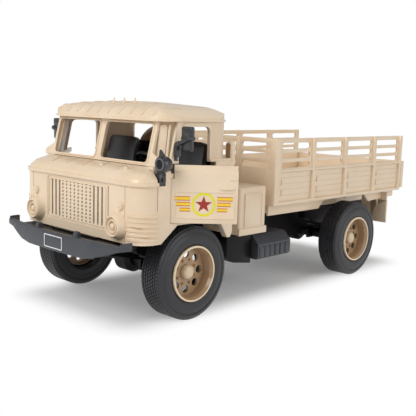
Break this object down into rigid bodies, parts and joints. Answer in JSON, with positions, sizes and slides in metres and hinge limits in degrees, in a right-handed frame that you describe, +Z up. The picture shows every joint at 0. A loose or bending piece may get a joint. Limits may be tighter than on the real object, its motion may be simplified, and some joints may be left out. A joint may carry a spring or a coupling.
{
  "type": "military cargo truck",
  "caption": "Toy military cargo truck with a forward-control cab, opening doors, slatted drop-gate cargo bed and freely rolling wheels on steel pins.",
  "frame": {"origin": "centre of the bounding box on the ground plane under the tyres", "axes": "+X forward along the truck, +Y to its left, +Z up"},
  "size_m": [0.365, 0.199, 0.1522],
  "materials": {
    "body_shell": "satin moulded sand beige",
    "black_trim": "fine moulded black",
    "bumper_grey": "satin dark grey",
    "tyre": "matt rubber",
    "rim": "satin sand gold",
    "steel": "plain bright"
  },
  "bodies": {
    "truck": {"air_scoops": "body_shell", "bed_bearers": "body_shell", "bed_floor": "body_shell", "bed_side_left": "body_shell", "bed_side_right": "body_shell", "bed_sills": "body_shell", "bed_skirts": "body_shell", "bumper": "bumper_grey", "bumper_valance": "black_trim", "cab_front": "body_shell", "cab_rear_wall": "body_shell", "cab_side_left": "body_shell", "cab_side_right": "body_shell", "cab_tub": "black_trim", "cab_upper_left": "body_shell", "cab_upper_right": "body_shell", "chassis_deck": "black_trim", "chassis_rail_left": "black_trim", "chassis_rail_right": "black_trim", "cowl": "body_shell", "cross_tubes": "black_trim", "dashboard": "black_trim", "engine_box": "black_trim", "front_axle_housing": "black_trim", "front_springs": "black_trim", "fuel_tanks": "black_trim", "gearbox": "black_trim", "grille": "body_shell", "headboard": "body_shell", "headlamps": "body_shell", "mirrors": "black_trim", "mud_flaps": "body_shell", "propeller_shaft": "black_trim", "rear_axle_housing": "black_trim", "rear_springs": "black_trim", "roof": "body_shell", "searchlight": "black_trim", "seats": "black_trim", "side_boxes": "body_shell", "silencer": "black_trim", "small_lamps": "body_shell", "spare_wheel": "body_shell", "steering_wheel": "black_trim", "step_boxes": "black_trim", "windscreen_frame": "body_shell"},
    "front_axle_wheels": {"pin_front": "steel", "rim_front_left": "rim", "rim_front_right": "rim", "tyre_front_left": "tyre", "tyre_front_right": "tyre"},
    "rear_axle_wheels": {"pin_rear": "steel", "rim_rear_left": "rim", "rim_rear_right": "rim", "tyre_rear_left": "tyre", "tyre_rear_right": "tyre"},
    "door_left": {"door_left": "body_shell"},
    "door_right": {"door_right": "body_shell"},
    "tailgate": {"tailgate": "body_shell"}
  },
  "joints": [
    {"name": "front_wheels_roll", "type": "hinge", "parent": "truck", "child": "front_axle_wheels", "pos_m": [0.116, 0, 0.033], "axis": [0, 1, 0], "continuous": true},
    {"name": "rear_wheels_roll", "type": "hinge", "parent": "truck", "child": "rear_axle_wheels", "pos_m": [-0.09, 0, 0.033], "axis": [0, 1, 0], "continuous": true},
    {"name": "door_left_swing", "type": "hinge", "parent": "truck", "child": "door_left", "pos_m": [0.1364, 0.069, 0.09], "axis": [0, 0, -1], "range_deg": [-42, 28]},
    {"name": "door_right_swing", "type": "hinge", "parent": "truck", "child": "door_right", "pos_m": [0.1364, -0.069, 0.09], "axis": [0, 0, 1], "range_deg": [-42, 28]},
    {"name": "tailgate_drop", "type": "hinge", "parent": "truck", "child": "tailgate", "pos_m": [-0.17925, 0, 0.0712], "axis": [0, -1, 0], "range_deg": [0, 165]}
  ]
}
